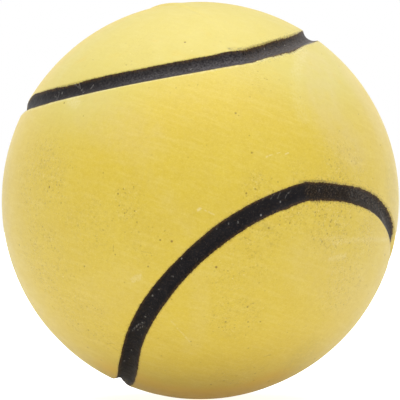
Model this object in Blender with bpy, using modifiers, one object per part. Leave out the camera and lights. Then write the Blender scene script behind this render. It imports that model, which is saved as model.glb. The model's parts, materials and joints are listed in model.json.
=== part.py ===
"""Hollow rubber ball with a black seam line: two moulded half shells cemented at the
parting plane, a sealing plug inside, and a seam inlay that lies in the moulded groove.

The pieces are made in the mould's own frame, where the parting plane is z = 0, and one
empty then turns them all to how the ball lies, with +Z up and the ball's centre at the
origin. Lengths are in metres.
"""
import math

import bmesh
import bpy
from mathutils import Euler, Vector

# The ball
BALL_DIAMETER = 0.063
WALL = 0.0040

# The seam line: what shows of it, and how thick its black filling is
SEAM_WIDTH = 0.00265
SEAM_DEPTH = 0.00075
SEAM_FILLING = 0.00045

# The cement between the half shells, and the plug inside the left one
CEMENT_THICKNESS = 0.0003
PLUG_DIAMETER = 0.0120
PLUG_HEIGHT = 0.0032
PLUG_ROUNDING = 0.0009

# Clearance between pieces that are bonded together
BOND_GAP = 0.0003

# The seam's route on a unit sphere: the share of its third harmonic sets how deep the
# four lobes reach, and the two small harmonics flatten their long sides
SEAM_LOBE_RATIO = 0.320
SEAM_SIXTH_RATIO = -0.031
SEAM_SEVENTH_RATIO = 0.033
# The grooves of the two half moulds meet in a slight corner towards the seam's waist
SEAM_CORNER_RATIO = 0.026
SEAM_CORNER_REACH_RATIO = 0.064
# The pattern sits a little off square in the mould, in degrees
SEAM_TILT_X = -1.5
SEAM_TILT_Y = 2.9

# How the ball lies, in degrees
LIE = (-76.2, -23.8, -63.9)

# Mesh fineness
TURNED_STEPS = 48
OUTER_ARC_STEPS = 14
INNER_ARC_STEPS = 8
PLUG_ARC_STEPS = 3
SEAM_POINTS = 124
SEAM_BEVEL_RESOLUTION = 4
MERGE_DISTANCE = 0.00001

BALL_RADIUS = BALL_DIAMETER / 2
CAVITY_RADIUS = BALL_RADIUS - WALL
RIM_HEIGHT = CEMENT_THICKNESS / 2 + BOND_GAP


def chord_circle(half_width, depth):
    """Radius of the circle that is half_width wide and depth deep below its chord."""
    return (half_width ** 2 + depth ** 2) / (2 * depth)


def remove_everything():
    for item in list(bpy.data.objects):
        bpy.data.objects.remove(item, do_unlink=True)


def new_collection(name):
    collection = bpy.data.collections.new(name)
    bpy.context.scene.collection.children.link(collection)
    return collection


def rubber(name, colour, roughness):
    material = bpy.data.materials.new(name)
    material.use_nodes = True
    shader = material.node_tree.nodes["Principled BSDF"]
    shader.inputs["Base Color"].default_value = (*colour, 1.0)
    shader.inputs["Roughness"].default_value = roughness
    shader.inputs["Metallic"].default_value = 0.0
    material.diffuse_color = (*colour, 1.0)
    return material


def place(item, collection, lie):
    collection.objects.link(item)
    item.parent = lie


def arc(radius, start, end, steps):
    """Points (across, up) on a circle about the origin; angles are from the +Z pole."""
    angles = [start + (end - start) * i / steps for i in range(steps + 1)]
    return [(radius * math.sin(a), radius * math.cos(a)) for a in angles]


def turned(name, profile, closed, collection, lie, material):
    """A profile of (across, up) points, turned once about the mould's axis."""
    mesh = bpy.data.meshes.new(name)
    points = [(across, 0.0, up) for across, up in profile]
    edges = [(i, i + 1) for i in range(len(points) - 1)]
    if closed:
        edges.append((len(points) - 1, 0))
    mesh.from_pydata(points, edges, [])
    item = bpy.data.objects.new(name, mesh)
    place(item, collection, lie)
    mesh.materials.append(material)
    screw = item.modifiers.new("turn", 'SCREW')
    screw.axis = 'Z'
    screw.steps = TURNED_STEPS
    screw.render_steps = TURNED_STEPS
    screw.use_merge_vertices = True
    screw.merge_threshold = MERGE_DISTANCE
    return item


def seam_direction(turn):
    """Unit vector to the seam's middle, at a share of its round from 0 to 1."""
    s = 2 * math.pi * turn
    waist = 2 * math.sqrt(SEAM_LOBE_RATIO * (1 - SEAM_LOBE_RATIO))
    tilt = Euler((math.radians(SEAM_TILT_X), math.radians(SEAM_TILT_Y), 0.0)).to_matrix()
    point = tilt @ Vector((
        waist * math.cos(2 * s) - SEAM_SIXTH_RATIO * math.cos(6 * s),
        SEAM_LOBE_RATIO * math.cos(3 * s) - (1 - SEAM_LOBE_RATIO) * math.cos(s)
        - SEAM_SEVENTH_RATIO * math.cos(7 * s),
        SEAM_SEVENTH_RATIO * math.sin(7 * s) - (1 - SEAM_LOBE_RATIO) * math.sin(s)
        - SEAM_LOBE_RATIO * math.sin(3 * s),
    )).normalized()
    waist_axis = tilt @ Vector((1.0, 0.0, 0.0))
    along = waist_axis * point.dot(waist_axis)
    pull = SEAM_CORNER_RATIO * math.exp(-abs(point.z) / SEAM_CORNER_REACH_RATIO)
    return (along + (point - along) * (1 - pull)).normalized()


def seam_tube(name, tube_radius, depth, collection, lie):
    """A closed round tube along the seam, whose lowest line is depth under the surface."""
    curve = bpy.data.curves.new(name + "_curve", 'CURVE')
    curve.dimensions = '3D'
    curve.bevel_depth = tube_radius
    curve.bevel_resolution = SEAM_BEVEL_RESOLUTION
    spline = curve.splines.new('POLY')
    spline.points.add(SEAM_POINTS - 1)
    distance = BALL_RADIUS - depth + tube_radius
    for i, point in enumerate(spline.points):
        point.co = (*(seam_direction(i / SEAM_POINTS) * distance), 1.0)
    spline.use_cyclic_u = True
    guide = bpy.data.objects.new(name + "_guide", curve)
    collection.objects.link(guide)
    evaluated = guide.evaluated_get(bpy.context.evaluated_depsgraph_get())
    mesh = bpy.data.meshes.new_from_object(evaluated)
    mesh.name = name
    bpy.data.objects.remove(guide, do_unlink=True)
    bpy.data.curves.remove(curve)
    mesh.materials.clear()
    work = bmesh.new()
    work.from_mesh(mesh)
    bmesh.ops.remove_doubles(work, verts=work.verts, dist=MERGE_DISTANCE)
    bmesh.ops.recalc_face_normals(work, faces=work.faces)
    work.to_mesh(mesh)
    work.free()
    item = bpy.data.objects.new(name, mesh)
    place(item, collection, lie)
    return item


def as_cutter(item):
    item.hide_render = True
    item.display_type = 'WIRE'
    return item


def cut(item, cutter):
    boolean = item.modifiers.new("cut_" + cutter.name, 'BOOLEAN')
    boolean.operation = 'DIFFERENCE'
    boolean.solver = 'EXACT'
    boolean.object = cutter


def half_shell(name, parts, lie, material):
    """The half shell above the parting plane: a bowl with a flat rim, mouth down."""
    outer = arc(BALL_RADIUS, 0.0, math.acos(RIM_HEIGHT / BALL_RADIUS), OUTER_ARC_STEPS)
    inner = arc(CAVITY_RADIUS, math.acos(RIM_HEIGHT / CAVITY_RADIUS), 0.0, INNER_ARC_STEPS)
    return turned(name, outer + inner, False, parts, lie, material)


def cement_ring(parts, lie, material):
    """The flat ring of cured cement between the two rims."""
    half = CEMENT_THICKNESS / 2
    profile = [(CAVITY_RADIUS, half), (BALL_RADIUS - BOND_GAP, half),
               (BALL_RADIUS - BOND_GAP, -half), (CAVITY_RADIUS, -half)]
    return turned("cement_ring", profile, True, parts, lie, material)


def sealing_plug(parts, lie, material):
    """The plug of soft raw rubber, seated on the inside of the left half at its pole."""
    seat = CAVITY_RADIUS - BOND_GAP
    radius = PLUG_DIAMETER / 2
    top = PLUG_HEIGHT - seat
    corner = [(radius - PLUG_ROUNDING + across, top - PLUG_ROUNDING + up)
              for across, up in arc(PLUG_ROUNDING, 0.0, math.pi / 2, PLUG_ARC_STEPS)]
    edge = math.pi - math.asin(radius / seat)
    profile = [(0.0, top)] + corner + arc(seat, edge, math.pi, PLUG_ARC_STEPS)
    return turned("sealing_plug", profile, False, parts, lie, material)


def build():
    remove_everything()
    parts = new_collection("rubber_ball")
    cutters = new_collection("cutters")

    yellow = rubber("yellow_moulded_rubber", (0.75, 0.56, 0.11), 0.62)
    black = rubber("black_seam_ink", (0.030, 0.026, 0.024), 0.55)
    amber = rubber("cured_rubber_cement", (0.42, 0.26, 0.07), 0.5)
    tan = rubber("raw_plug_rubber", (0.55, 0.38, 0.20), 0.7)

    lie = bpy.data.objects.new("ball_lie", None)
    lie.rotation_euler = [math.radians(angle) for angle in LIE]
    parts.objects.link(lie)

    filling_depth = SEAM_DEPTH + SEAM_FILLING
    groove_depth = filling_depth + BOND_GAP
    groove_radius = chord_circle(SEAM_WIDTH / 2 + BOND_GAP, groove_depth)
    filling_radius = chord_circle(SEAM_WIDTH / 2, filling_depth)
    hollow_radius = chord_circle(SEAM_WIDTH / 2, SEAM_DEPTH)
    groove = as_cutter(seam_tube("seam_groove", groove_radius, groove_depth, cutters, lie))
    hollow = as_cutter(seam_tube("seam_hollow", hollow_radius, SEAM_DEPTH, cutters, lie))

    right = half_shell("right_half_shell", parts, lie, yellow)
    left = half_shell("left_half_shell", parts, lie, yellow)
    left.rotation_euler = (math.pi, 0.0, 0.0)
    cement = cement_ring(parts, lie, amber)
    for item in (right, left, cement):
        cut(item, groove)

    filling = seam_tube("seam_line", filling_radius, filling_depth, parts, lie)
    filling.data.materials.append(black)
    cut(filling, hollow)

    sealing_plug(parts, lie, tan)

    for item in parts.objects:
        if item.type == 'MESH' and not item.hide_render:
            item.data.shade_smooth()


build()
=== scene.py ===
"""The looks of a yellow rubber ball with a black seam line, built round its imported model.

The two half shells and the seam line are modelled afresh over the CAD nodes of the same
names. The cement ring and the sealing plug are the CAD's own, with better materials.
The new pieces are made in the mould's frame, where the joint between the half shells is
z = 0, and are then turned to how the ball lies. Lengths are in metres.
"""

import json
import math

import bpy
import numpy as np
from mathutils import Euler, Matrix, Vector, noise
from mathutils.kdtree import KDTree

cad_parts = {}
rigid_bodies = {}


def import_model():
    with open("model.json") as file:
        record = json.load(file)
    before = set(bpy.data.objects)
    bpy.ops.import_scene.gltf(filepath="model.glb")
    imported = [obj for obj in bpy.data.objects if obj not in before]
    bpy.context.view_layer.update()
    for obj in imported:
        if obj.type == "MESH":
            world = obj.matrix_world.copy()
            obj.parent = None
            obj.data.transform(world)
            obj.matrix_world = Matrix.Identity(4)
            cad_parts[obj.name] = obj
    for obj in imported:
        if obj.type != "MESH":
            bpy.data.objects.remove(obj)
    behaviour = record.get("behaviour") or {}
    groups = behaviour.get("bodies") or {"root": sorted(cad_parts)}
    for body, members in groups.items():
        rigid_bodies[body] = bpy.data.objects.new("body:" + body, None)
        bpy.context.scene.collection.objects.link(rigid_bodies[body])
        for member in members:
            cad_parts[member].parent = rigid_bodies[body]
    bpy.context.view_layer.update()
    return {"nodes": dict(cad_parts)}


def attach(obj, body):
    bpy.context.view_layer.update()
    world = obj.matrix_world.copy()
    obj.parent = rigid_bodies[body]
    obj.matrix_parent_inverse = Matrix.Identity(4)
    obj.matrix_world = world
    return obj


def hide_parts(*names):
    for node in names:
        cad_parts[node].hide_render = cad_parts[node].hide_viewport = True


MM = 0.001

# The ball, as in the CAD source
BALL_RADIUS = 31.5 * MM
CAVITY_RADIUS = 27.5 * MM
LIE = Euler([math.radians(angle) for angle in (-76.2, -23.8, -63.9)]).to_matrix()

# The seam's route, as in the CAD source
SEAM_LOBE_RATIO = 0.320
SEAM_SIXTH_RATIO = -0.031
SEAM_SEVENTH_RATIO = 0.033
SEAM_CORNER_RATIO = 0.026
SEAM_CORNER_REACH_RATIO = 0.064
SEAM_TILT = Euler((math.radians(-1.5), math.radians(2.9), 0.0)).to_matrix()

# The photograph is 400 pixels square: the ball's middle in it, and the camera's reach
PHOTO_SIZE = 400
BALL_MIDDLE = (200.3, 200.6)
CAMERA_DISTANCE = 18 * BALL_RADIUS
FOCAL_PIXELS = 3570
SENSOR_WIDTH = 36.0
CLIP_START, CLIP_END = 0.01, 20.0

# The moulded groove and the ink in it
GROOVE_HALF_WIDTH = 1.40 * MM
GROOVE_DEPTH = 0.80 * MM
GROOVE_LIP_ROUNDING = 0.34 * MM
# The groove is round out to this share of its circle's radius, and straight beyond
GROOVE_ROUND_RATIO = 0.93
INK_HALF_WIDTH = 1.385 * MM
INK_OVER_RUBBER = 0.035 * MM
INK_POOL = 0.05 * MM
INK_THICKNESS = 0.16 * MM
# The ink's surface: height and fineness of its grain, and the grain's least share
INK_GRAIN_HEIGHT = 0.018 * MM
INK_GRAIN_FINENESS = 60
INK_GRAIN_LEAST = 0.4
# How the ink's edge wanders: fineness, width on the left half and what the worn right half
# adds to it, in millimetres
INK_WANDER = (
    (14, 0.04, 0.0),
    (45, 0.03, 0.03),
    (110, 0.045, 0.05),
    (190, 0.03, 0.05),
)
INK_WANDER_SHIFT = (7.7, 3.1, 1.9)
# Width of the change from the smooth left half's ink to the worn right half's
WORN_BLEND = 1.2 * MM
# Where the brush spread the ink further over the lip, or short of it: pixel x, pixel y,
# how far and over what length of the seam, both in millimetres
INK_SPREADS = {
    "upper_left_above": (142, 66, 0.04, 9.0),
    "left_cluster_above": (70, 84, -0.12, 3.0),
    "upper_left_below": (142, 84, -0.20, 8.0),
    "upper_middle_above": (196, 56, 0.03, 4.0),
    "crossing_bulge_above": (226, 51, 0.14, 1.7),
    "crossing_dip_above": (247, 49.5, -0.05, 1.0),
    "crossing_step_below": (244, 64, 0.12, 1.0),
    "upper_right_above": (290, 35, -0.16, 4.5),
    "upper_right_below": (283, 52, 0.32, 3.2),
    "upper_far_right_below": (293, 49, 0.28, 1.8),
    "crossing_right_above": (261, 47, -0.12, 2.0),
    "leg_foot_inside": (136, 366, 0.20, 4.0),
    "left_end_above": (36, 92, 0.14, 2.5),
    "left_end_below": (40, 105, 0.14, 3.0),
    "leg_foot_outside": (118, 366, 0.14, 3.0),
    "leg_inside": (158, 312, 0.25, 7.0),
    "arc_above": (222, 224, 0.25, 7.0),
    "arc_corner_above": (292, 185, 0.12, 2.5),
    "arc_bulge_below": (286, 208, 0.16, 0.8),
    "right_arc_below": (328, 201, 0.08, 3.0),
    "right_arc_above": (342, 182, -0.18, 5.0),
    "right_end_below": (380, 220, -0.25, 4.5),
    "right_end_above": (392, 212, -0.12, 4.0),
    "right_tip_above": (396, 243, -0.75, 3.8),
}

# Painted highlight on ink that faces up, a pale grey for reflected light: how far up the
# ball faces where it starts (1 is straight up), its share, what it loses on the worn half,
# and how much stronger it is towards the groove's lower lip
INK_HIGHLIGHT_FROM = 0.48
INK_HIGHLIGHT = 0.54
INK_HIGHLIGHT_WORN_LOSS = 0.08
INK_HIGHLIGHT_LEAN = 0.46
# The ink thins from this share of its half width, and is thinnest this much further out
THIN_EDGE_FROM = 0.74
THIN_EDGE_WIDTH = 0.24
# Painted highlight along the groove's lower lip, where it faces up: how far up the ball
# faces where it starts, and its half width in millimetres. It and the ink's painted
# highlight blend in over the same rise
LIP_HIGHLIGHT_FROM = 0.30
LIP_HIGHLIGHT_WIDTH = 0.26
UPWARD_BLEND = 0.20

# Slight unevenness of the skin: height, fineness and shift of each wave
SKIN_WAVES = (
    (0.035 * MM, 2.3, (4.1, 0.7, 9.2)),
    (0.012 * MM, 8.0, (1.3, 5.5, 2.8)),
)

# The joint between the half shells, and the rebate that holds the cement ring
LIP_WIDTH = 0.25 * MM
REBATE_DEPTH = 0.20 * MM
JOINT_HOLLOW = 0.010 * MM
JOINT_HOLLOW_ABOVE = 0.030 * MM
JOINT_HOLLOW_WIDTH = 0.35 * MM
# Near the top the right half's rim stands proud of the left one's and falls back slowly
PROUD_RIM_PIXEL = (163, 6)
PROUD_RIM_HEIGHT = 0.27 * MM
PROUD_RIM_RISE = 0.75 * MM
PROUD_RIM_END = 3.4 * MM
PROUD_RIM_REACH = 8.5 * MM

# Mesh fineness and tolerances
SKIN_LEVELS = 7
SEAM_BAND = 2.3 * MM
SEAM_STEPS = 2304
SEAM_ACROSS = 14
SEAM_SAMPLES = 3200
SEAM_WAY_STEP = 1e-4
INNER_RINGS = 14
SMOOTH_ANGLE = 48
CUT_TOLERANCE = 0.001 * MM
MERGE_DISTANCE = 0.002 * MM
# The skin further than this from the seam carries no ink fringe
FRINGE_BAND = 6 * MM
NO_FRINGE = 9.0
# Scuffs narrower than this, in millimetres, get a finer mesh under them
THIN_SCUFF = 0.20
FINE_MARK_REACH = 0.36 * MM

# Pinholes that show singly in the photograph: pixel x, pixel y and size in millimetres
PINHOLES = {
    "above_upper_seam": (185, 42, 0.24),
    "above_upper_seam_left": (126, 65, 0.14),
    "under_upper_seam_left": (64, 103, 0.20),
    "under_upper_seam_faint": (83, 116, 0.13),
    "left_smear": (49, 187, 0.26),
    "left_edge_low": (19, 245, 0.20),
    "left_middle": (97, 239, 0.12),
    "middle_upper": (235.5, 113.5, 0.22),
    "middle_upper_tail": (239, 115.5, 0.12),
    "middle_right": (252, 153, 0.20),
    "right_shoulder": (322, 54, 0.14),
    "right_shoulder_low": (339, 66, 0.14),
    "right_cheek": (380.5, 145, 0.16),
    "right_cheek_low": (352, 161, 0.14),
    "right_inner": (329.5, 159.5, 0.16),
    "right_inner_low": (340, 177, 0.16),
    "right_rim": (373, 178.5, 0.14),
    "over_lower_seam_a": (246.6, 193.5, 0.20),
    "over_lower_seam_b": (255, 189, 0.18),
    "over_lower_seam_c": (273.3, 191, 0.18),
    "over_lower_seam_d": (278, 181.4, 0.15),
    "over_lower_seam_e": (294, 179.6, 0.16),
    "left_of_seam_a": (160.3, 240.2, 0.20),
    "left_of_seam_b": (171.7, 241.7, 0.25),
    "left_of_seam_c": (164.5, 231, 0.12),
    "left_of_seam_d": (148, 266.3, 0.18),
    "left_field_a": (118, 194, 0.20),
    "left_field_b": (123, 189, 0.16),
    "left_field_c": (134, 187, 0.14),
    "left_field_d": (124.4, 213.4, 0.17),
    "left_field_e": (134.6, 210.8, 0.17),
    "left_field_f": (137, 222, 0.15),
    "left_field_g": (119.3, 205.7, 0.16),
    "left_low_a": (84, 266.3, 0.18),
    "left_low_b": (78, 324, 0.16),
    "left_low_c": (88.6, 330.4, 0.18),
    "left_low_d": (103.3, 336.5, 0.13),
    "left_low_e": (88, 347.7, 0.18),
    "left_low_f": (101.4, 360.3, 0.15),
    "inside_lobe_a": (216, 267, 0.25),
    "inside_lobe_b": (268.5, 227.8, 0.20),
    "inside_lobe_c": (290, 223.3, 0.18),
    "inside_lobe_d": (247.2, 307, 0.20),
    "inside_lobe_e": (225.5, 321.8, 0.17),
    "inside_lobe_f": (247.8, 322, 0.18),
    "inside_lobe_g": (260.6, 321.8, 0.17),
    "inside_lobe_h": (248.5, 348, 0.15),
    "inside_lobe_i": (191.3, 341.6, 0.14),
    "inside_lobe_j": (171.6, 299.2, 0.14),
    "low_rim_a": (210.8, 384.6, 0.19),
    "low_rim_b": (224.2, 381.1, 0.16),
    "low_rim_c": (253.6, 380.5, 0.16),
    "low_rim_d": (268.5, 381.4, 0.21),
    "low_right_rim": (314.8, 358.8, 0.24),
    "far_right": (385, 255.2, 0.22),
    "under_right_arc_a": (315.4, 212, 0.18),
    "under_right_arc_b": (322.4, 209.6, 0.16),
    "under_right_arc_c": (332, 220.4, 0.18),
    "under_right_arc_d": (342.2, 210.8, 0.16),
    "under_right_arc_e": (351, 218, 0.16),
    "under_right_arc_f": (327.6, 233.4, 0.16),
    "under_right_arc_g": (322.4, 241.5, 0.15),
}
PINHOLE_DEPTH = 0.07 * MM
PINHOLE_REACH = 0.45 * MM
# The share of the full depth that the smallest pinhole has, and how fast it grows with size
PINHOLE_SMALLEST = 0.10
PINHOLE_SHALLOWEST = 0.60
PINHOLE_DEEPENING = 2.6
# A pinhole's radius in millimetres: the least, and its growth with size
PINHOLE_LEAST_RADIUS = 0.11
PINHOLE_WIDENING = 0.5
# No pinhole is cut nearer than the first of these to the groove, or further than the
# second from a vertex
PINHOLE_CLEARANCE = 0.3 * MM
PINHOLE_MISS = 0.3 * MM
# Where fine pinholes crowd: pixel x, pixel y, reach in millimetres and strength
CROWDS = {
    "left_edge": (40, 176, 10.0, 0.80),
    "left_edge_low": (42, 256, 10.0, 0.65),
    "left_field": (128, 204, 4.6, 0.66),
    "left_of_seam": (146, 240, 6.0, 0.35),
    "left_middle": (84, 226, 9.0, 0.46),
    "over_lower_seam": (258, 187, 3.8, 0.90),
    "right_of_joint": (300, 172, 3.4, 0.40),
    "right_cheek": (346, 166, 8.0, 0.60),
    "under_right_arc": (332, 222, 8.0, 0.90),
    "under_arc_corner": (296, 214, 5.0, 0.85),
    "under_arc_end": (366, 238, 6.0, 0.80),
    "under_seam_middle": (258, 236, 7.0, 0.50),
    "lobe_middle": (236, 270, 8.0, 0.45),
    "lobe_low": (236, 316, 7.0, 0.50),
    "lobe_right": (346, 280, 9.0, 0.65),
    "left_low": (84, 318, 9.0, 0.50),
    "low_rim": (240, 376, 7.0, 0.40),
    "top": (250, 80, 6.0, 0.25),
    "top_left": (140, 50, 6.0, 0.25),
}

# Short nicks, darkened with painted shade like the pinholes: pixel paths, and their size
# as pinholes in millimetres
NICK_SIZE = 0.07
NICKS = {
    "left_upright": [(113.2, 245), (113.4, 252)],
    "left_slanted": [(141.6, 251), (147, 252.4), (151.8, 253.6)],
    "lobe_curl": [(242, 238), (247, 238), (251, 241)],
    "low_left_curl": [(106, 343), (109, 344), (113, 343)],
    "low_left_line": [(112.5, 347), (117.5, 350.5)],
    "low_left_short": [(52, 306), (55, 309)],
    "low_right_line": [(264, 357), (271, 354.6)],
}
# Pale scuffs: pixel path, half width in millimetres, strength
SCUFFS = {
    "middle_pair_left": ([(266, 157), (272, 154.6)], 0.12, 0.55),
    "middle_pair_mid": ([(277, 153.5), (280.5, 152.6)], 0.11, 0.35),
    "middle_pair_right": ([(284.5, 154.6), (288.5, 153)], 0.12, 0.55),
    "centre_a": ([(197, 209.4), (201, 208)], 0.26, 0.5),
    "centre_b": ([(204, 209.6), (214, 214.5)], 0.16, 0.35),
    "left_patch": ([(132.5, 280), (139.5, 276.5)], 0.65, 0.28),
    "lobe_line": ([(177, 328), (183, 334), (190, 342)], 0.15, 0.32),
    "lobe_line_upper": ([(171, 321), (175, 325)], 0.18, 0.2),
    "right_streak_a": ([(334, 243), (352, 240.5), (372, 239.5), (387, 240)], 0.60, 0.22),
    "right_streak_b": ([(330, 258.6), (345, 256)], 0.60, 0.24),
    "right_streak_c": ([(322, 240), (345, 236)], 0.5, 0.14),
    "seam_end_dust": ([(302, 48), (299, 60), (296, 74)], 1.6, 0.17),
    "shoulder_edge": ([(295, 76), (297, 96), (303, 118)], 1.6, 0.10),
    "under_left_seam": ([(71, 100), (77, 104)], 1.3, 0.22),
}
# Paler zones, where sulphur and dust have bloomed, and on the right shoulder also painted
# sheen where the slant catches light: pixel path, half width, strength
BLOOMS_AND_SHEEN = {
    # Bloom and painted sheen on the right shoulder and its rim
    "right_shoulder": ([(318, 64), (322, 96), (336, 128), (352, 148)], 5.6, 0.68),
    "right_shoulder_rim": ([(350, 78), (368, 106), (378, 128)], 3.6, 0.40),
    "under_left_seam": ([(84, 108), (116, 124), (140, 140)], 6.0, 0.40),
    "low_left": ([(96, 300), (128, 286)], 6.0, 0.20),
    "low_right": ([(310, 262), (350, 290)], 7.0, 0.28),
    "left_vein": ([(134, 160), (189, 228)], 1.8, 0.16),
    "left_vein_low": ([(200, 280), (199, 328), (190, 350)], 2.2, 0.22),
}
# Painted highlight: a paler, lemon colour over the top, where the overhead light falls:
# pixel path, half width, strength
TOP_HIGHLIGHT = {
    "crown": ([(96, 62), (130, 38), (200, 18), (262, 30), (300, 48)], 19.0, 0.46),
}
# Painted shade: a deeper, darker yellow round the foot of the ball, where it sits in its
# own shadow: as above
FOOT_SHADE = {
    "foot": ([(120, 376), (160, 391), (200, 396), (240, 392), (268, 382)], 6.5, 0.75),
}
# Soft dark smudges, painted shade along the left and right rims, and a soft darker patch
# low on the right: pixel path, half width in millimetres, strength
SMUDGES_AND_SHADE = {
    "upper_crossing": ([(229, 48.7), (238, 48.8), (247, 48)], 0.42, 0.55),
    "upper_crossing_right": ([(250, 46.5), (268, 42), (280, 39)], 0.30, 0.38),
    "low_right": ([(284, 376), (296, 364), (308, 350)], 4.5, 0.10),
    # Painted shade along the left and right rims
    "left_rim": ([(4, 165), (3, 200), (4, 240), (14, 270)], 7.0, 0.11),
    "right_rim": ([(393, 184), (396, 200), (395, 216)], 6.0, 0.12),
    "lower_crossing": ([(300, 182), (318, 181), (338, 184)], 0.32, 0.55),
    "under_lobe_corner": ([(258, 222), (266, 227), (272, 230)], 0.7, 0.14),
}
# Light dust and hairs on the ink: pixel path, half width in millimetres, strength
INK_HAIRS = {
    "left_end_a": ([(51, 93), (54, 97), (55, 103)], 0.14, 0.40),
    "left_end_b": ([(57, 89), (55, 95)], 0.14, 0.35),
    "left_cluster": ([(74, 83), (77, 85), (80, 88)], 0.12, 0.45),
    "left_cluster_top": ([(79, 82), (76, 87)], 0.12, 0.34),
    "left_hair": ([(88, 86), (91, 83), (93, 81)], 0.13, 0.35),
    "crossing_a": ([(272, 199), (275, 193)], 0.11, 0.22),
    "crossing_b": ([(279, 199), (281, 193), (280, 190)], 0.11, 0.22),
    "crossing_c": ([(287, 198), (289, 194), (292, 191)], 0.11, 0.22),
    "crossing_d": ([(263, 200), (267, 196)], 0.11, 0.20),
    "low_arc_a": ([(131, 333), (136, 328), (142, 325.5)], 0.15, 0.32),
    "low_arc_b": ([(136, 333), (141, 329), (146, 329)], 0.15, 0.26),
    "right_notch": ([(306, 45), (309, 43.4), (314, 41.6)], 0.50, 0.60),
    "under_left_end": ([(58, 99), (75, 94)], 0.30, 0.20),
    "right_arc_dust": ([(356, 194), (370, 201), (382, 213), (388, 226)], 1.7, 0.07),
    "right_arc_end": ([(386, 219), (389, 228), (391.5, 241)], 1.2, 0.20),
}
# Single specks of dust on the ink: pixel x and y, then their reach in millimetres and
# strength
INK_SPECKS = {
    "upper_a": (191, 66.3), "upper_b": (99, 90), "upper_c": (265.7, 46), "upper_d": (47, 99),
    "upper_e": (284.6, 46.5), "upper_f": (298, 43.5), "upper_g": (286.7, 41.7),
    "upper_h": (59, 91), "upper_i": (66, 94), "upper_j": (81, 90), "arc_a": (322.2, 190.3),
    "arc_b": (282.3, 202), "arc_c": (262, 215.3), "arc_d": (217.2, 228.7),
    "arc_e": (229.4, 224.2), "arc_f": (239, 223), "leg_a": (181.8, 259.6),
    "leg_b": (171.8, 278), "leg_c": (158.4, 292), "leg_d": (151.8, 297.6),
    "leg_e": (143.7, 319.3), "leg_f": (130, 353.7), "leg_g": (122.7, 363.3),
    "leg_h": (127, 362),
}
SPECK_REACH = 0.18
SPECK_STRENGTH = 1.1
# A mark holds its full strength over its middle before it falls off
MARK_PLATEAU = 1.6
# Strength of the same marks on the far side, which the photograph doesn't show
FAR_SCUFFS = 0.8
FAR_CROWDS = 0.8
FAR_BLOOMS_AND_SHEEN = 0.9
FAR_INK_HAIRS = 1.0

# Light: the room's level, a wide soft lamp overhead, a weaker one in front of it, and a
# white floor that glows faintly as a lit table does
ROOM_LEVEL = 0.22
OVERHEAD_STRENGTH, OVERHEAD_ELEVATION = 3.0, 88
FRONT_STRENGTH, FRONT_ELEVATION = 0.58, 60
LAMP_SPREAD = 75
FLOOR_GLOW = 0.19
FLOOR_LIFT = 0.66
FLOOR_MIRRORED = 0.15
FLOOR_SIZE = 6.0
FLOOR_HEIGHT = -31.52 * MM
FLOOR_PAPER = (0.88, 0.88, 0.88, 1.0)
WHITE = (1.0, 1.0, 1.0, 1.0)


def clear_scene():
    for item in list(bpy.data.objects):
        bpy.data.objects.remove(item, do_unlink=True)


def on_ball(pixel):
    """The direction, in the mould's frame, of the point of the ball that a pixel shows."""
    ray = Vector(((pixel[0] - BALL_MIDDLE[0]) / FOCAL_PIXELS,
                  (BALL_MIDDLE[1] - pixel[1]) / FOCAL_PIXELS, -1.0))
    eye = Vector((0.0, 0.0, CAMERA_DISTANCE))
    across = eye.dot(ray)
    square = ray.length_squared
    inside = across ** 2 - square * (eye.length_squared - BALL_RADIUS ** 2)
    hit = eye + ray * ((-across - math.sqrt(max(inside, 0.0))) / square)
    row = Vector((hit.x, -hit.z, hit.y))
    return (LIE.transposed() @ row).normalized()


def on_path(pixels):
    """Directions every half pixel or so along a path of pixels."""
    found = []
    for (x0, y0), (x1, y1) in zip(pixels, pixels[1:]):
        steps = max(1, int(2 * math.hypot(x1 - x0, y1 - y0)))
        found += [on_ball((x0 + (x1 - x0) * i / steps, y0 + (y1 - y0) * i / steps))
                  for i in range(steps)]
    return found + [on_ball(pixels[-1])]


def seam_direction(turn):
    """Unit vector to the seam's middle, at a share of its round from 0 to 1."""
    s = 2 * math.pi * turn
    waist = 2 * math.sqrt(SEAM_LOBE_RATIO * (1 - SEAM_LOBE_RATIO))
    point = SEAM_TILT @ Vector((
        waist * math.cos(2 * s) - SEAM_SIXTH_RATIO * math.cos(6 * s),
        SEAM_LOBE_RATIO * math.cos(3 * s) - (1 - SEAM_LOBE_RATIO) * math.cos(s)
        - SEAM_SEVENTH_RATIO * math.cos(7 * s),
        SEAM_SEVENTH_RATIO * math.sin(7 * s) - (1 - SEAM_LOBE_RATIO) * math.sin(s)
        - SEAM_LOBE_RATIO * math.sin(3 * s),
    )).normalized()
    waist_axis = SEAM_TILT @ Vector((1.0, 0.0, 0.0))
    along = waist_axis * point.dot(waist_axis)
    pull = SEAM_CORNER_RATIO * math.exp(-abs(point.z) / SEAM_CORNER_REACH_RATIO)
    return (along + (point - along) * (1 - pull)).normalized()


def seam_frame(turn):
    """The seam's middle, its way along and its way across, at a share of its round."""
    middle = seam_direction(turn)
    way = seam_direction(turn + SEAM_WAY_STEP) - seam_direction(turn - SEAM_WAY_STEP)
    way.normalize()
    return middle, way, middle.cross(way).normalized()


SEAM_TREE = KDTree(SEAM_SAMPLES)
for sample in range(SEAM_SAMPLES):
    SEAM_TREE.insert(seam_direction(sample / SEAM_SAMPLES), sample)
SEAM_TREE.balance()


def seam_distance(direction):
    """Distance over the ball's surface from the seam's middle line."""
    return SEAM_TREE.find(direction)[2] * BALL_RADIUS


def smooth_step(share):
    share = min(1.0, max(0.0, share))
    return share * share * (3 - 2 * share)


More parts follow.
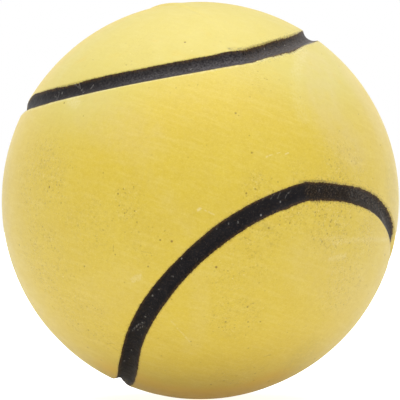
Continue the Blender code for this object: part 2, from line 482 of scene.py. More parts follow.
def groove_depth(distance):
    """Depth of the moulded groove: a round hollow that goes on straight where it is steep,
    and whose lips are rounded over."""
    hollow = (GROOVE_HALF_WIDTH ** 2 + GROOVE_DEPTH ** 2) / (2 * GROOVE_DEPTH)
    edge = hollow * GROOVE_ROUND_RATIO
    if distance > GROOVE_HALF_WIDTH + 2 * GROOVE_LIP_ROUNDING:
        return 0.0
    if distance < edge:
        depth = GROOVE_DEPTH - hollow + math.sqrt(hollow ** 2 - distance ** 2)
    else:
        height = math.sqrt(hollow ** 2 - edge ** 2)
        depth = GROOVE_DEPTH - hollow + height - (distance - edge) * edge / height
    blend = max(GROOVE_LIP_ROUNDING - abs(depth), 0.0)
    return max(depth, 0.0) + blend ** 2 / (4 * GROOVE_LIP_ROUNDING)


PROUD_RIM_MIDDLE = on_ball(PROUD_RIM_PIXEL)


def joint_shape(direction):
    """Height of the skin over the round, near the joint between the half shells."""
    ahead = math.asin(max(-1.0, min(1.0, direction.z))) * BALL_RADIUS
    along = (direction - PROUD_RIM_MIDDLE).length * BALL_RADIUS
    near = math.exp(-(along / PROUD_RIM_REACH) ** 2)
    height = 0.0
    if 0 < ahead < PROUD_RIM_END:
        rise = smooth_step(ahead / PROUD_RIM_RISE)
        fall = smooth_step((PROUD_RIM_END - ahead) / (PROUD_RIM_END - PROUD_RIM_RISE))
        height = PROUD_RIM_HEIGHT * near * min(rise, fall)
    hollow = JOINT_HOLLOW + (JOINT_HOLLOW_ABOVE - JOINT_HOLLOW) * near
    return height - hollow * max(0.0, 1 - abs(ahead) / JOINT_HOLLOW_WIDTH)


def skin_height(direction):
    """Height of the skin over the true round: groove, joint and slight unevenness."""
    uneven = 0.0
    for height, fineness, shift in SKIN_WAVES:
        uneven += height * noise.noise(direction * fineness + Vector(shift))
    return uneven + joint_shape(direction) - groove_depth(seam_distance(direction))


def roughened(direction):
    """How worn and browned the ink is: 0 on the left half, 1 on the right half."""
    return smooth_step(0.5 + direction.z * BALL_RADIUS / WORN_BLEND)


def facing_up(direction, start):
    """0 where the ball's surface faces less far up than start, and 1 a little above it."""
    return smooth_step(((LIE @ direction).z - start) / UPWARD_BLEND)


def ink_spreads():
    """Each spread as the seam's middle beside it, its side, how far and over what length."""
    found = []
    for x, y, spread, length in INK_SPREADS.values():
        direction = on_ball((x, y))
        middle, _, side_way = seam_frame(SEAM_TREE.find(direction)[1] / SEAM_SAMPLES)
        side = 1 if direction.dot(side_way) > 0 else -1
        found.append((middle, side, spread, length * MM / BALL_RADIUS))
    return found


SPREAD_LIST = ink_spreads()


def ink_edge(direction, side):
    """Half width of the ink, which wanders, most of all on the right half."""
    worn = roughened(direction)
    shift_x, shift_y, shift_z = INK_WANDER_SHIFT
    offset = Vector((shift_x * side, shift_y, shift_z * side))
    wander = 0.0
    for fineness, width, worn_width in INK_WANDER:
        wander += (width + worn_width * worn) * noise.noise(direction * fineness + offset)
    for middle, spread_side, spread, length in SPREAD_LIST:
        if spread_side == side:
            wander += spread * math.exp(-((direction - middle).length / length) ** 2)
    return INK_HALF_WIDTH + wander * MM


def active(item):
    bpy.ops.object.select_all(action='DESELECT')
    item.select_set(True)
    bpy.context.view_layer.objects.active = item


def modify(item, kind, **settings):
    modifier = item.modifiers.new(kind.lower(), kind)
    for name, value in settings.items():
        setattr(modifier, name, value)
    bpy.ops.object.modifier_apply(modifier=modifier.name)


def vertex_array(mesh):
    places = np.empty(len(mesh.vertices) * 3)
    mesh.vertices.foreach_get("co", places)
    return places.reshape(-1, 3)


def directions_of(mesh):
    places = vertex_array(mesh)
    return places / np.linalg.norm(places, axis=1)[:, None]


def face_centres(mesh):
    centres = np.empty(len(mesh.polygons) * 3)
    mesh.polygons.foreach_get("center", centres)
    return centres.reshape(-1, 3)


def subdivide_faces(item, chosen, cuts):
    bpy.ops.object.mode_set(mode='EDIT')
    bpy.ops.mesh.select_mode(type='FACE')
    bpy.ops.mesh.select_all(action='DESELECT')
    bpy.ops.object.mode_set(mode='OBJECT')
    item.data.polygons.foreach_set("select", chosen)
    bpy.ops.object.mode_set(mode='EDIT')
    bpy.ops.mesh.subdivide(number_cuts=cuts)
    bpy.ops.object.mode_set(mode='OBJECT')


def nearness(directions, points, reach):
    """1 at the nearest of some points, falling smoothly to 0 at reach millimetres."""
    best = np.full(len(directions), -1.0)
    for point in points:
        best = np.maximum(best, directions @ np.array(point))
    distance = np.sqrt(np.maximum(2 - 2 * best, 0.0)) * BALL_RADIUS / MM
    share = np.clip(1 - distance / reach, 0.0, 1.0)
    return share * share * (3 - 2 * share)


def attribute(mesh, name, values):
    stored = mesh.attributes.new(name, 'FLOAT', 'POINT')
    stored.data.foreach_set("value", np.asarray(values, dtype=np.float32))


def strongest(directions, marks, far_side=0.0):
    """The strongest of several marks at each point: pixel path, half width, strength. The
    photograph doesn't show the far side: it carries the same marks, opposite and fainter."""
    total = np.zeros(len(directions))
    for path, half_width, strength in marks.values():
        points = on_path(path)
        near = np.minimum(1.0, MARK_PLATEAU * nearness(directions, points, half_width))
        total = np.maximum(total, strength * near)
        if far_side:
            far = np.minimum(1.0, MARK_PLATEAU * nearness(-directions, points, half_width))
            total = np.maximum(total, far_side * strength * far)
    return total


def all_pinholes():
    """Every modelled pinhole and nick as directions and sizes in millimetres, and every
    second one again on the far side."""
    found = [(on_ball((x, y)), size) for x, y, size in PINHOLES.values()]
    for path in NICKS.values():
        found += [(direction, NICK_SIZE) for direction in on_path(path)]
    found += [(-direction, size) for direction, size in found[::2]]
    return [(direction, size) for direction, size in found
            if seam_distance(direction) > GROOVE_HALF_WIDTH + PINHOLE_CLEARANCE]


PINHOLE_LIST = all_pinholes()


def near_fine_marks(places, reach):
    """Marks the places that lie within reach of a pinhole, a nick or a thin scuff."""
    fine = [direction for direction, _ in PINHOLE_LIST]
    for path, half_width, _ in SCUFFS.values():
        if half_width < THIN_SCUFF:
            fine += on_path(path) + [-direction for direction in on_path(path)]
    tree = KDTree(len(fine))
    for index, direction in enumerate(fine):
        tree.insert(direction * BALL_RADIUS, index)
    tree.balance()
    return np.array([tree.find(place)[2] < reach for place in places])


def pinhole_shares(directions):
    """How deep in a pinhole each point of the skin lies, from 0 to 1."""
    tree = KDTree(len(directions))
    for index, direction in enumerate(directions):
        tree.insert(direction * BALL_RADIUS, index)
    tree.balance()
    shares = np.zeros(len(directions))
    for direction, size in PINHOLE_LIST:
        nearest, _, away = tree.find(direction * BALL_RADIUS)
        if away > PINHOLE_MISS:
            continue
        strength = min(1.0, PINHOLE_SHALLOWEST
                       + PINHOLE_DEEPENING * (size - PINHOLE_SMALLEST))
        radius = (PINHOLE_LEAST_RADIUS + PINHOLE_WIDENING * size) * MM
        for _, other, distance in tree.find_range(nearest, PINHOLE_REACH):
            share = math.exp(-(distance / radius) ** 2) * strength
            shares[other] = max(shares[other], share)
    return shares


def half_shell(name, side):
    """A half shell: side is 1 above the joint and -1 below it, in the mould's frame."""
    bpy.ops.mesh.primitive_cube_add(size=2 * BALL_RADIUS)
    shell = bpy.context.object
    shell.name = shell.data.name = name
    active(shell)
    modify(shell, 'SUBSURF', levels=SKIN_LEVELS, render_levels=SKIN_LEVELS)
    modify(shell, 'CAST', cast_type='SPHERE', factor=1.0, use_radius_as_size=False,
           size=BALL_RADIUS)
    bpy.ops.object.mode_set(mode='EDIT')
    bpy.ops.mesh.select_all(action='SELECT')
    bpy.ops.mesh.bisect(plane_co=(0, 0, 0), plane_no=(0, 0, side), clear_inner=True,
                        threshold=CUT_TOLERANCE)
    bpy.ops.object.mode_set(mode='OBJECT')

    centres = face_centres(shell.data)
    in_band = [seam_distance(centre / np.linalg.norm(centre)) < SEAM_BAND
               for centre in centres]
    subdivide_faces(shell, in_band, 1)
    subdivide_faces(shell, near_fine_marks(face_centres(shell.data), FINE_MARK_REACH), 2)

    # The rim: a narrow lip that meets the other half, a rebate, then the inner wall
    bpy.ops.object.mode_set(mode='EDIT')
    bpy.ops.mesh.select_mode(type='EDGE')
    bpy.ops.mesh.select_all(action='DESELECT')
    bpy.ops.mesh.select_non_manifold(extend=False, use_wire=False, use_boundary=True,
                                     use_multi_face=False, use_non_contiguous=False,
                                     use_verts=False)
    lip = (BALL_RADIUS - LIP_WIDTH) / BALL_RADIUS
    bpy.ops.mesh.extrude_region()
    bpy.ops.transform.resize(value=(lip, lip, 1), center_override=(0, 0, 0))
    bpy.ops.mesh.extrude_region()
    bpy.ops.transform.translate(value=(0, 0, side * REBATE_DEPTH))
    bpy.ops.mesh.extrude_region()
    inner = CAVITY_RADIUS / (BALL_RADIUS - LIP_WIDTH)
    bpy.ops.transform.resize(value=(inner, inner, 1), center_override=(0, 0, 0))
    across, up = CAVITY_RADIUS, REBATE_DEPTH
    for ring in range(1, INNER_RINGS):
        angle = math.pi / 2 * ring / INNER_RINGS
        bpy.ops.mesh.extrude_region()
        share = CAVITY_RADIUS * math.cos(angle) / across
        rise = CAVITY_RADIUS * math.sin(angle) - up
        bpy.ops.transform.resize(value=(share, share, 1), center_override=(0, 0, 0))
        bpy.ops.transform.translate(value=(0, 0, side * rise))
        across, up = across * share, up + rise
    bpy.ops.mesh.extrude_region()
    bpy.ops.transform.translate(value=(0, 0, side * (CAVITY_RADIUS - up)))
    bpy.ops.mesh.merge(type='CENTER')
    bpy.ops.mesh.select_all(action='SELECT')
    bpy.ops.mesh.normals_make_consistent(inside=False)
    bpy.ops.object.mode_set(mode='OBJECT')

    shape_skin(shell)
    return shell


def shape_skin(shell):
    """Moves the outside and the lip of a shell to the skin's true height."""
    mesh = shell.data
    places = vertex_array(mesh)
    radii = np.linalg.norm(places, axis=1)
    directions = places / radii[:, None]
    outside = radii > BALL_RADIUS - 2 * LIP_WIDTH
    skin = radii > BALL_RADIUS - LIP_WIDTH / 2
    heights = np.zeros(len(places))
    past_ink = np.full(len(places), NO_FRINGE)
    lip = np.zeros(len(places))
    worn = np.zeros(len(places))
    for index in np.nonzero(outside)[0]:
        direction = Vector(directions[index])
        heights[index] = skin_height(direction)
        _, sample, away = SEAM_TREE.find(direction)
        if away * BALL_RADIUS < FRINGE_BAND:
            middle, _, side_way = seam_frame(sample / SEAM_SAMPLES)
            side = 1 if direction.dot(side_way) > 0 else -1
            past_ink[index] = (away * BALL_RADIUS - ink_edge(middle, side)) / MM
            # Painted highlight along the groove's lower lip, where the ball faces up
            high = facing_up(direction, LIP_HIGHLIGHT_FROM)
            below = smooth_step(-side * (LIE @ side_way).z)
            beside = abs(past_ink[index] - LIP_HIGHLIGHT_WIDTH) / LIP_HIGHLIGHT_WIDTH
            lip[index] = high * below * max(0.0, 1 - beside)
        worn[index] = roughened(direction)
    shares = np.zeros(len(places))
    shares[skin] = pinhole_shares(directions[skin])
    base = np.where(skin, BALL_RADIUS, radii)
    target = np.where(outside, base + heights - PINHOLE_DEPTH * shares, radii)
    mesh.vertices.foreach_set("co", (directions * target[:, None]).ravel())
    mesh.update()

    # Stored marks: painted highlights on the top and the groove's lower lip, painted shade
    # round the foot and along the rims, and bloom that is partly painted sheen
    attribute(mesh, "pinhole", shares)
    attribute(mesh, "past_ink", past_ink)
    attribute(mesh, "worn", worn)
    attribute(mesh, "lip", lip)
    attribute(mesh, "scuff", strongest(directions, SCUFFS, FAR_SCUFFS))
    attribute(mesh, "smudge_and_shade", strongest(directions, SMUDGES_AND_SHADE))
    attribute(mesh, "bloom_and_sheen", strongest(directions, BLOOMS_AND_SHEEN, FAR_BLOOMS_AND_SHEEN))
    attribute(mesh, "top_highlight", strongest(directions, TOP_HIGHLIGHT))
    attribute(mesh, "foot_shade", strongest(directions, FOOT_SHADE))
    attribute(mesh, "crowd", strongest(directions, {
        name: ([(x, y)], reach, strength)
        for name, (x, y, reach, strength) in CROWDS.items()}, FAR_CROWDS))


def seam_line():
    """The ink in the groove: a grid laid along the seam, wrapped into it and thickened."""
    bpy.ops.mesh.primitive_grid_add(x_subdivisions=SEAM_STEPS, y_subdivisions=SEAM_ACROSS,
                                    size=2)
    ink = bpy.context.object
    ink.name = ink.data.name = "seam_line_ink"
    active(ink)
    frames, edges = {}, {}
    places = vertex_array(ink.data)
    worn, ink_highlight = np.zeros(len(places)), np.zeros(len(places))
    thin = np.clip((np.abs(places[:, 1]) - THIN_EDGE_FROM) / THIN_EDGE_WIDTH, 0.0, 1.0)
    for index, (x, y, _) in enumerate(places):
        key = round((x + 1) / 2 * SEAM_STEPS) % SEAM_STEPS
        if key not in frames:
            frames[key] = seam_frame(key / SEAM_STEPS)
            middle = frames[key][0]
            edges[key] = (ink_edge(middle, -1), ink_edge(middle, 1), roughened(middle))
        middle, _, side_way = frames[key]
        below, above, worn[index] = edges[key]
        away = y * (below if y < 0 else above)
        direction = (middle * math.cos(away / BALL_RADIUS)
                     + side_way * math.sin(away / BALL_RADIUS)).normalized()
        over = INK_OVER_RUBBER + INK_POOL * (1 - y * y)
        rough = INK_GRAIN_HEIGHT * noise.noise(direction * INK_GRAIN_FINENESS)
        rough *= INK_GRAIN_LEAST + (1 - INK_GRAIN_LEAST) * worn[index]
        uneven = skin_height(direction) + groove_depth(seam_distance(direction))
        height = uneven - groove_depth(abs(away)) + over + rough * (1 - y ** 4)
        places[index] = direction * (BALL_RADIUS + height)
        # Painted highlight on ink that faces up, stronger towards the groove's lower lip
        ink_highlight_share = INK_HIGHLIGHT - INK_HIGHLIGHT_WORN_LOSS * worn[index]
        ink_highlight_share -= INK_HIGHLIGHT_LEAN * y * (LIE @ side_way).z
        ink_highlight[index] = facing_up(direction, INK_HIGHLIGHT_FROM) * ink_highlight_share
    ink.data.vertices.foreach_set("co", places.ravel())
    ink.data.update()
    directions = directions_of(ink.data)
    dust = strongest(directions, INK_HAIRS, FAR_INK_HAIRS)
    for pixel in INK_SPECKS.values():
        speck = nearness(directions, [on_ball(pixel)], SPECK_REACH)
        dust = np.maximum(dust, SPECK_STRENGTH * speck)
    attribute(ink.data, "worn", worn)
    attribute(ink.data, "thin", thin)
    attribute(ink.data, "dust", dust)
    attribute(ink.data, "ink_highlight", ink_highlight)
    bpy.ops.object.mode_set(mode='EDIT')
    bpy.ops.mesh.select_all(action='SELECT')
    bpy.ops.mesh.remove_doubles(threshold=MERGE_DISTANCE)
    bpy.ops.object.mode_set(mode='OBJECT')
    modify(ink, 'SOLIDIFY', thickness=INK_THICKNESS, offset=-1.0)
    return ink


def finish_piece(item, material, node):
    """Turns a piece from the mould's frame to how the ball lies, and hands it over."""
    active(item)
    item.rotation_euler = LIE.to_euler()
    bpy.ops.object.transform_apply(location=True, rotation=True, scale=True)
    bpy.ops.object.shade_smooth_by_angle(angle=math.radians(SMOOTH_ANGLE))
    item.data.materials.clear()
    item.data.materials.append(material)
    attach(item, "root")
    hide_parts(node)


def colour(hex_value):
    """An sRGB hex colour as linear red, green, blue and alpha."""
    parts = [int(hex_value[i:i + 2], 16) / 255 for i in (1, 3, 5)]
    return (*[c / 12.92 if c <= 0.04045 else ((c + 0.055) / 1.055) ** 2.4 for c in parts], 1.0)


def add(tree, kind, sockets=None, out=0, **settings):
    """Adds a node with its settings and links, and gives back one of its outputs."""
    node = tree.nodes.new("ShaderNode" + kind)
    for name, value in settings.items():
        setattr(node, name, value)
    for name, value in (sockets or {}).items():
        if isinstance(value, bpy.types.NodeSocket):
            tree.links.new(value, node.inputs[name])
        else:
            node.inputs[name].default_value = value
    return node.outputs[out] if node.outputs else None


def new_material(name):
    material = bpy.data.materials.new(name)
    material.use_nodes = True
    material.node_tree.nodes.clear()
    return material, material.node_tree


def per_metre(millimetres):
    """Scale of a texture whose grain is this many millimetres wide."""
    return 1 / (millimetres * MM)


def yellow_rubber_skin():
    """Moulded natural rubber, pigmented yellow: a matt skin with the pale sheen of bloomed
    sulphur at a slant, cloudy and faintly brushed, with crowds of fine pinholes, bright
    specks of dust, scuffs, and ink stains beside the seam. Light and shade are painted in
    too: a paler top, pale lower lips of the groove and sheen on the right shoulder as painted
    highlights, and painted shade round the foot, along the rims and in the pinholes."""
    material, tree = new_material("moulded_yellow_natural_rubber")
    place = add(tree, "TexCoord", out="Object")
    paint = colour("#D8BD37")

    # Cloudy colour of the mix: grain in millimetres, detail, low, high, share, colour
    for width, detail, low, high, share, tone in (
        (11.0, 2.0, 0.36, 0.66, 0.45, "#DCC340"),
        (2.6, 3.0, 0.42, 0.74, 0.18, "#C9AC34"),
        (0.9, 2.0, 0.40, 0.72, 0.16, "#DCC562"),
        (0.6, 2.0, 0.42, 0.72, 0.20, "#C4A20A"),
        (0.24, 1.0, 0.34, 0.72, 0.26, "#C8A60C"),
        (0.21, 1.0, 0.50, 0.72, 0.12, "#EBDC90"),
    ):
        grain = add(tree, "TexNoise", {"Vector": place, "Scale": per_metre(width),
                                       "Detail": detail})
        share = add(tree, "MapRange", {"Value": grain, "From Min": low, "From Max": high,
                                       "To Max": share})
        paint = add(tree, "Mix", {"Factor": share, 6: paint, 7: colour(tone)}, out=2,
                    data_type='RGBA')

    # Brush marks run across the ball and fall a little to the right
    along = add(tree, "Mapping", {"Vector": place, "Rotation": (0.0, math.radians(18), 0.0),
                                  "Scale": (7.0, 7.0, 1.0)}, vector_type='TEXTURE')
    streaks = add(tree, "TexNoise", {"Vector": along, "Scale": per_metre(0.5), "Detail": 3.0})
    share = add(tree, "MapRange", {"Value": streaks, "From Min": 0.48, "From Max": 0.72,
                                   "To Max": 0.17})
    paint = add(tree, "Mix", {"Factor": share, 6: paint, 7: colour("#E8D67C")}, out=2,
                data_type='RGBA')

    # Marks stored on the skin, each broken up by its own grain: a painted highlight over the
    # top, painted shade round the foot, a painted highlight on the groove's lower lip, bloom
    # that is partly painted sheen, scuffs, and smudges that include painted shade on the rims
    for name, width, low, high, share, tone in (
        ("top_highlight", 3.0, 0.00, 0.40, 1.00, "#CCC672"),
        ("foot_shade", 3.0, 0.00, 0.40, 1.00, "#E0B600"),
        ("lip", 0.40, 0.30, 0.60, 0.60, "#F0E9B8"),
        ("bloom_and_sheen", 1.8, 0.10, 0.60, 0.30, "#DECCA6"),
        ("scuff", 0.32, 0.30, 0.62, 1.00, "#EFE6BC"),
        ("smudge_and_shade", 0.45, 0.30, 0.62, 1.00, "#4C3A10"),
    ):
        mark = add(tree, "Attribute", out="Fac", attribute_name=name)
        grain = add(tree, "TexNoise", {"Vector": place, "Scale": per_metre(width),
                                       "Detail": 3.0})
        broken = add(tree, "MapRange", {"Value": grain, "From Min": low, "From Max": high,
                                        "To Max": share})
        share = add(tree, "Math", {0: mark, 1: broken}, operation='MULTIPLY')
        paint = add(tree, "Mix", {"Factor": share, 6: paint, 7: colour(tone)}, out=2,
                    data_type='RGBA')

    # Where the fine pinholes crowd, in ragged patches
    crowd = add(tree, "Attribute", out="Fac", attribute_name="crowd")
    patchy = add(tree, "TexNoise", {"Vector": place, "Scale": per_metre(3.5), "Detail": 3.0})
    patchy = add(tree, "MapRange", {"Value": patchy, "From Min": 0.34, "From Max": 0.60,
                                    "To Min": 0.45})
    crowd = add(tree, "Math", {0: crowd, 1: patchy}, operation='MULTIPLY')

    # Fine pinholes, darkened with painted shade in the holes, and bright specks of dust, one
    # to
    # a cell: cell and dot in millimetres, share of the cells used far from and in a crowd,
    # strength, colour
    dots = []
    for cell, radius, shift, few, many, strength, tone in (
        (0.46, 0.17, 0.0, 0.12, 0.85, 0.70, "#906C00"),
        (0.90, 0.24, 5.1, 0.06, 0.55, 0.85, "#886400"),
        (0.60, 0.15, 3.7, 0.05, 0.50, 0.60, "#F4E8B4"),
    ):
        moved = add(tree, "VectorMath", {0: place, 1: (shift * MM, 0.0, 0.0)})
        middle = add(tree, "TexVoronoi", {"Vector": moved, "Scale": per_metre(cell)})
        dot = add(tree, "MapRange", {"Value": middle, "From Min": 0.3 * radius / cell,
                                     "From Max": radius / cell, "To Min": 1.0, "To Max": 0.0})
        used = add(tree, "MapRange", {"Value": crowd, "To Min": few, "To Max": many})
        chosen = add(tree, "MapRange", {"Value": middle.node.outputs["Color"],
                                        "From Max": used, "To Min": strength, "To Max": 0.0})
        dots.append(add(tree, "Math", {0: dot, 1: chosen}, operation='MULTIPLY'))
        paint = add(tree, "Mix", {"Factor": dots[-1], 6: paint, 7: colour(tone)}, out=2,
                    data_type='RGBA')

    # Between them the skin of a crowd is pitted and pricked, with painted shade and painted
    # highlight standing in for the pits' relief: grain, low, high, share, colour
    pitted = []
    for width, low, high, strength, tone in (
        (0.46, 0.53, 0.68, 0.56, "#AA8A00"),
        (0.36, 0.56, 0.72, 0.44, "#F0E2A0"),
    ):
        moved = add(tree, "VectorMath", {0: place, 1: (0.0, 0.0, width * MM * 9)})
        grain = add(tree, "TexNoise", {"Vector": moved, "Scale": per_metre(width),
                                       "Detail": 2.0, "Distortion": 1.4})
        broken = add(tree, "MapRange", {"Value": grain, "From Min": low, "From Max": high,
                                        "To Max": strength})
        pitted.append(add(tree, "Math", {0: broken, 1: crowd}, operation='MULTIPLY'))
        paint = add(tree, "Mix", {"Factor": pitted[-1], 6: paint, 7: colour(tone)}, out=2,
                    data_type='RGBA')

    # The pinholes and nicks that are modelled singly, darkened with painted shade in them
    single = add(tree, "Attribute", out="Fac", attribute_name="pinhole")
    single = add(tree, "MapRange", {"Value": single, "From Min": 0.28, "From Max": 0.95})
    paint = add(tree, "Mix", {"Factor": single, 6: paint, 7: colour("#825E00")}, out=2,
                data_type='RGBA')

    # Ink that crept past the edge of the groove, further on the worn half, and its spatter
    worn = add(tree, "Attribute", out="Fac", attribute_name="worn")
    past = add(tree, "Attribute", out="Fac", attribute_name="past_ink")
    for near, far, width, low, high, little, much, tone in (
        (0.28, 0.40, 0.26, 0.34, 0.60, 0.70, 0.80, "#5E431A"),
        (0.80, 1.30, 0.24, 0.58, 0.68, 0.25, 0.80, "#4A3616"),
    ):
        reach = add(tree, "MapRange", {"Value": worn, "To Min": near, "To Max": far})
        crept = add(tree, "Math", {0: past, 1: reach}, operation='DIVIDE')
        fringe = add(tree, "MapRange", {"Value": crept, "To Min": 1.0, "To Max": 0.0})
        grain = add(tree, "TexNoise", {"Vector": place, "Scale": per_metre(width),
                                       "Detail": 2.0})
        broken = add(tree, "MapRange", {"Value": grain, "From Min": low, "From Max": high})
        strength = add(tree, "MapRange", {"Value": worn, "To Min": little, "To Max": much})
        share = add(tree, "Math", {0: fringe, 1: broken}, operation='MULTIPLY')
        share = add(tree, "Math", {0: share, 1: strength}, operation='MULTIPLY')
        paint = add(tree, "Mix", {"Factor": share, 6: paint, 7: colour(tone)}, out=2,
                    data_type='RGBA')

    gloss = add(tree, "TexNoise", {"Vector": place, "Scale": per_metre(1.8), "Detail": 3.0})
    rough = add(tree, "MapRange", {"Value": gloss, "From Min": 0.3, "From Max": 0.7,
                                   "To Min": 0.50, "To Max": 0.62})
    normal = add(tree, "Bump", {"Strength": 0.5, "Distance": 0.02 * MM, "Height": streaks})
    for pits, depth in ((dots[0], 0.08), (pitted[0], 0.16)):
        normal = add(tree, "Bump", {"Strength": 0.6, "Distance": depth * MM, "Height": pits,
                                    "Normal": normal}, invert=True)
    for width, height in ((1.6, 0.035), (0.26, 0.014)):
        grain = add(tree, "TexNoise", {"Vector": place, "Scale": per_metre(width),
                                       "Detail": 2.0})
        normal = add(tree, "Bump", {"Strength": 0.6, "Distance": height * MM,
                                    "Height": grain, "Normal": normal})
    shader = add(tree, "BsdfPrincipled", {
        "Base Color": paint, "Roughness": rough, "IOR": 1.50, "Normal": normal,
        "Sheen Weight": 0.25, "Sheen Roughness": 0.50,
    })
    add(tree, "OutputMaterial", {"Surface": shader})
    return material


def black_ink():
    """Black screen ink brushed into the groove: dark and smooth on the left half, browner
    and grainy on the right half, thin and brown at its edges, with dust and fine hairs, and
    a pale grey painted highlight where it faces up."""
    material, tree = new_material("black_rubber_ink")
    place = add(tree, "TexCoord", out="Object")
    worn = add(tree, "Attribute", out="Fac", attribute_name="worn")
    paint = add(tree, "Mix", {"Factor": worn, 6: colour("#131114"), 7: colour("#1A130C")},
                out=2, data_type='RGBA')

    # Painted highlight: a pale grey on the ink where it faces up
    ink_highlight = add(tree, "Attribute", out="Fac", attribute_name="ink_highlight")
    grain = add(tree, "TexNoise", {"Vector": place, "Scale": per_metre(0.30), "Detail": 2.0})
    broken = add(tree, "MapRange", {"Value": grain, "From Min": 0.32, "From Max": 0.68,
                                    "To Min": 0.10, "To Max": 0.80})
    share = add(tree, "Math", {0: ink_highlight, 1: broken}, operation='MULTIPLY')
    paint = add(tree, "Mix", {"Factor": share, 6: paint, 7: colour("#7F7A7B")}, out=2,
                data_type='RGBA')

    # Cloudy and grainy ink: grain, low, high, share on the left and right halves, colour
    for width, low, high, left, right, tone in (
        (1.4, 0.40, 0.70, 0.40, 0.40, "#211F22"),
        (0.26, 0.50, 0.70, 0.16, 0.52, "#5E4E3C"),
        (0.24, 0.68, 0.78, 0.28, 0.50, "#A0988A"),
    ):
        grain = add(tree, "TexNoise", {"Vector": place, "Scale": per_metre(width),
                                       "Detail": 2.0})
        broken = add(tree, "MapRange", {"Value": grain, "From Min": low, "From Max": high})
        most = add(tree, "MapRange", {"Value": worn, "To Min": left, "To Max": right})
        share = add(tree, "Math", {0: broken, 1: most}, operation='MULTIPLY')
        paint = add(tree, "Mix", {"Factor": share, 6: paint, 7: colour(tone)}, out=2,
                    data_type='RGBA')

    # The thin brown edge, where the rubber shows through
    thin = add(tree, "Attribute", out="Fac", attribute_name="thin")
    grain = add(tree, "TexNoise", {"Vector": place, "Scale": per_metre(0.24), "Detail": 2.0})
    broken = add(tree, "MapRange", {"Value": grain, "From Min": 0.36, "From Max": 0.60})
    most = add(tree, "MapRange", {"Value": worn, "To Min": 0.70, "To Max": 0.75})
    share = add(tree, "Math", {0: thin, 1: broken}, operation='MULTIPLY')
    share = add(tree, "Math", {0: share, 1: most}, operation='MULTIPLY')
    paint = add(tree, "Mix", {"Factor": share, 6: paint, 7: colour("#684C1E")}, out=2,
                data_type='RGBA')

    # Dust, hairs and specks
    dust = add(tree, "Attribute", out="Fac", attribute_name="dust")
    grain = add(tree, "TexNoise", {"Vector": place, "Scale": per_metre(0.30), "Detail": 2.0})
    broken = add(tree, "MapRange", {"Value": grain, "From Min": 0.40, "From Max": 0.58})
    share = add(tree, "Math", {0: dust, 1: broken}, operation='MULTIPLY')
    paint = add(tree, "Mix", {"Factor": share, 6: paint, 7: colour("#B5B1AA")}, out=2,
                data_type='RGBA')

    gloss = add(tree, "TexNoise", {"Vector": place, "Scale": per_metre(0.8), "Detail": 3.0})
    rough = add(tree, "MapRange", {"Value": gloss, "From Min": 0.3, "From Max": 0.7,
                                   "To Min": 0.46, "To Max": 0.60})
    relief = add(tree, "TexNoise", {"Vector": place, "Scale": per_metre(0.4), "Detail": 3.0})
    normal = add(tree, "Bump", {"Strength": 0.8, "Distance": 0.07 * MM, "Height": relief})
    shader = add(tree, "BsdfPrincipled", {
        "Base Color": paint, "Roughness": rough, "IOR": 1.45, "Normal": normal,
        "Specular IOR Level": 0.11,
    })
    add(tree, "OutputMaterial", {"Surface": shader})
    return material


def inner_rubber(name, base, cloud, gloss, width):
    """Unpainted rubber inside the ball, cloudy and dull: colours, roughness and grain."""
    material, tree = new_material(name)
    place = add(tree, "TexCoord", out="Object")
    clouds = add(tree, "TexNoise", {"Vector": place, "Detail": 4.0, "Scale": per_metre(width)})
    paint = add(tree, "Mix", {"Factor": clouds, 6: colour(base), 7: colour(cloud)}, out=2,
                data_type='RGBA')
    rough = add(tree, "MapRange", {"Value": clouds, "To Min": gloss - 0.08,
                                   "To Max": gloss + 0.08})
    normal = add(tree, "Bump", {"Strength": 0.5, "Distance": 0.05 * MM, "Height": clouds})
    shader = add(tree, "BsdfPrincipled", {"Base Color": paint, "Roughness": rough,
                                          "IOR": 1.52, "Normal": normal})
    add(tree, "OutputMaterial", {"Surface": shader})
    return material


def seen_or_mirrored(tree, mirrored):
    """1 where a surface is looked at, a share of it where it is reflected or seen through,
    and 0 for the light that it gives."""
    path = add(tree, "LightPath", out="Is Camera Ray").node
    through = add(tree, "Math", {0: path.outputs["Is Glossy Ray"],
                                 1: path.outputs["Is Transmission Ray"]}, operation='MAXIMUM')
    through = add(tree, "Math", {0: through, 1: mirrored}, operation='MULTIPLY')
    return add(tree, "Math", {0: path.outputs["Is Camera Ray"], 1: through},
               operation='MAXIMUM')


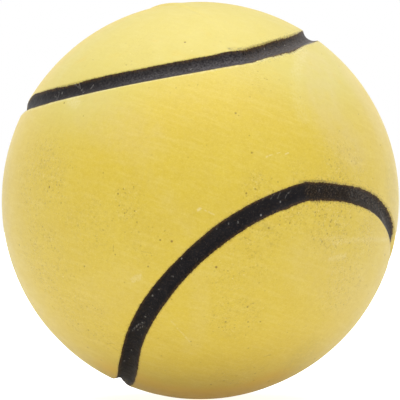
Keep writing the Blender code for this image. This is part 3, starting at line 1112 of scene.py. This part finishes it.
def studio():
    """A white room, two wide soft lamps from above and a white, faintly lit floor."""
    world = bpy.context.scene.world or bpy.data.worlds.new("room")
    bpy.context.scene.world = world
    world.use_nodes = True
    tree = world.node_tree
    tree.nodes.clear()
    level = add(tree, "MapRange", {"Value": seen_or_mirrored(tree, 1.0), "To Min": ROOM_LEVEL,
                                   "To Max": 1.0})
    room = add(tree, "Background", {"Color": WHITE, "Strength": level})
    add(tree, "OutputWorld", {"Surface": room})

    for name, strength, elevation in (
        ("overhead_lamp", OVERHEAD_STRENGTH, OVERHEAD_ELEVATION),
        ("front_lamp", FRONT_STRENGTH, FRONT_ELEVATION),
    ):
        bpy.ops.object.light_add(type='SUN', rotation=(math.radians(90 - elevation), 0.0, 0.0))
        lamp = bpy.context.object
        lamp.name = lamp.data.name = name
        lamp.data.energy = strength
        lamp.data.angle = math.radians(LAMP_SPREAD)

    bpy.ops.mesh.primitive_plane_add(size=FLOOR_SIZE, location=(0, 0, FLOOR_HEIGHT))
    floor = bpy.context.object
    floor.name = "floor"
    material, tree = new_material("white_studio_floor")
    glow = add(tree, "MapRange", {"Value": seen_or_mirrored(tree, FLOOR_MIRRORED),
                                  "To Min": FLOOR_GLOW, "To Max": FLOOR_GLOW + FLOOR_LIFT})
    paper = add(tree, "BsdfDiffuse", {"Color": FLOOR_PAPER})
    lit = add(tree, "Emission", {"Color": WHITE, "Strength": glow})
    add(tree, "OutputMaterial", {"Surface": add(tree, "AddShader", {0: paper, 1: lit})})
    floor.data.materials.append(material)


def camera():
    data = bpy.data.cameras.new("camera")
    data.sensor_width = SENSOR_WIDTH
    data.lens = FOCAL_PIXELS * SENSOR_WIDTH / PHOTO_SIZE
    data.shift_x = (PHOTO_SIZE / 2 - BALL_MIDDLE[0]) / PHOTO_SIZE
    data.shift_y = (BALL_MIDDLE[1] - PHOTO_SIZE / 2) / PHOTO_SIZE
    data.clip_start, data.clip_end = CLIP_START, CLIP_END
    eye = bpy.data.objects.new("camera", data)
    eye.location = (0.0, -CAMERA_DISTANCE, 0.0)
    eye.rotation_euler = (math.radians(90), 0.0, 0.0)
    bpy.context.scene.collection.objects.link(eye)
    bpy.context.scene.camera = eye


clear_scene()
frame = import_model()
bpy.context.scene.view_settings.view_transform = 'Standard'

bpy.ops.object.select_all(action='DESELECT')
skin = yellow_rubber_skin()
finish_piece(half_shell("left_half", -1), skin, "left_half_shell")
finish_piece(half_shell("right_half", 1), skin, "right_half_shell")
finish_piece(seam_line(), black_ink(), "seam_line")

for node, material in (
    ("cement_ring", inner_rubber("cured_rubber_cement", "#A8803A", "#8A6426", 0.42, 3.0)),
    ("sealing_plug", inner_rubber("raw_gum_rubber", "#B99A6B", "#9C7C4E", 0.66, 1.5)),
):
    for index in range(len(frame["nodes"][node].material_slots)):
        frame["nodes"][node].material_slots[index].material = material

studio()
camera()
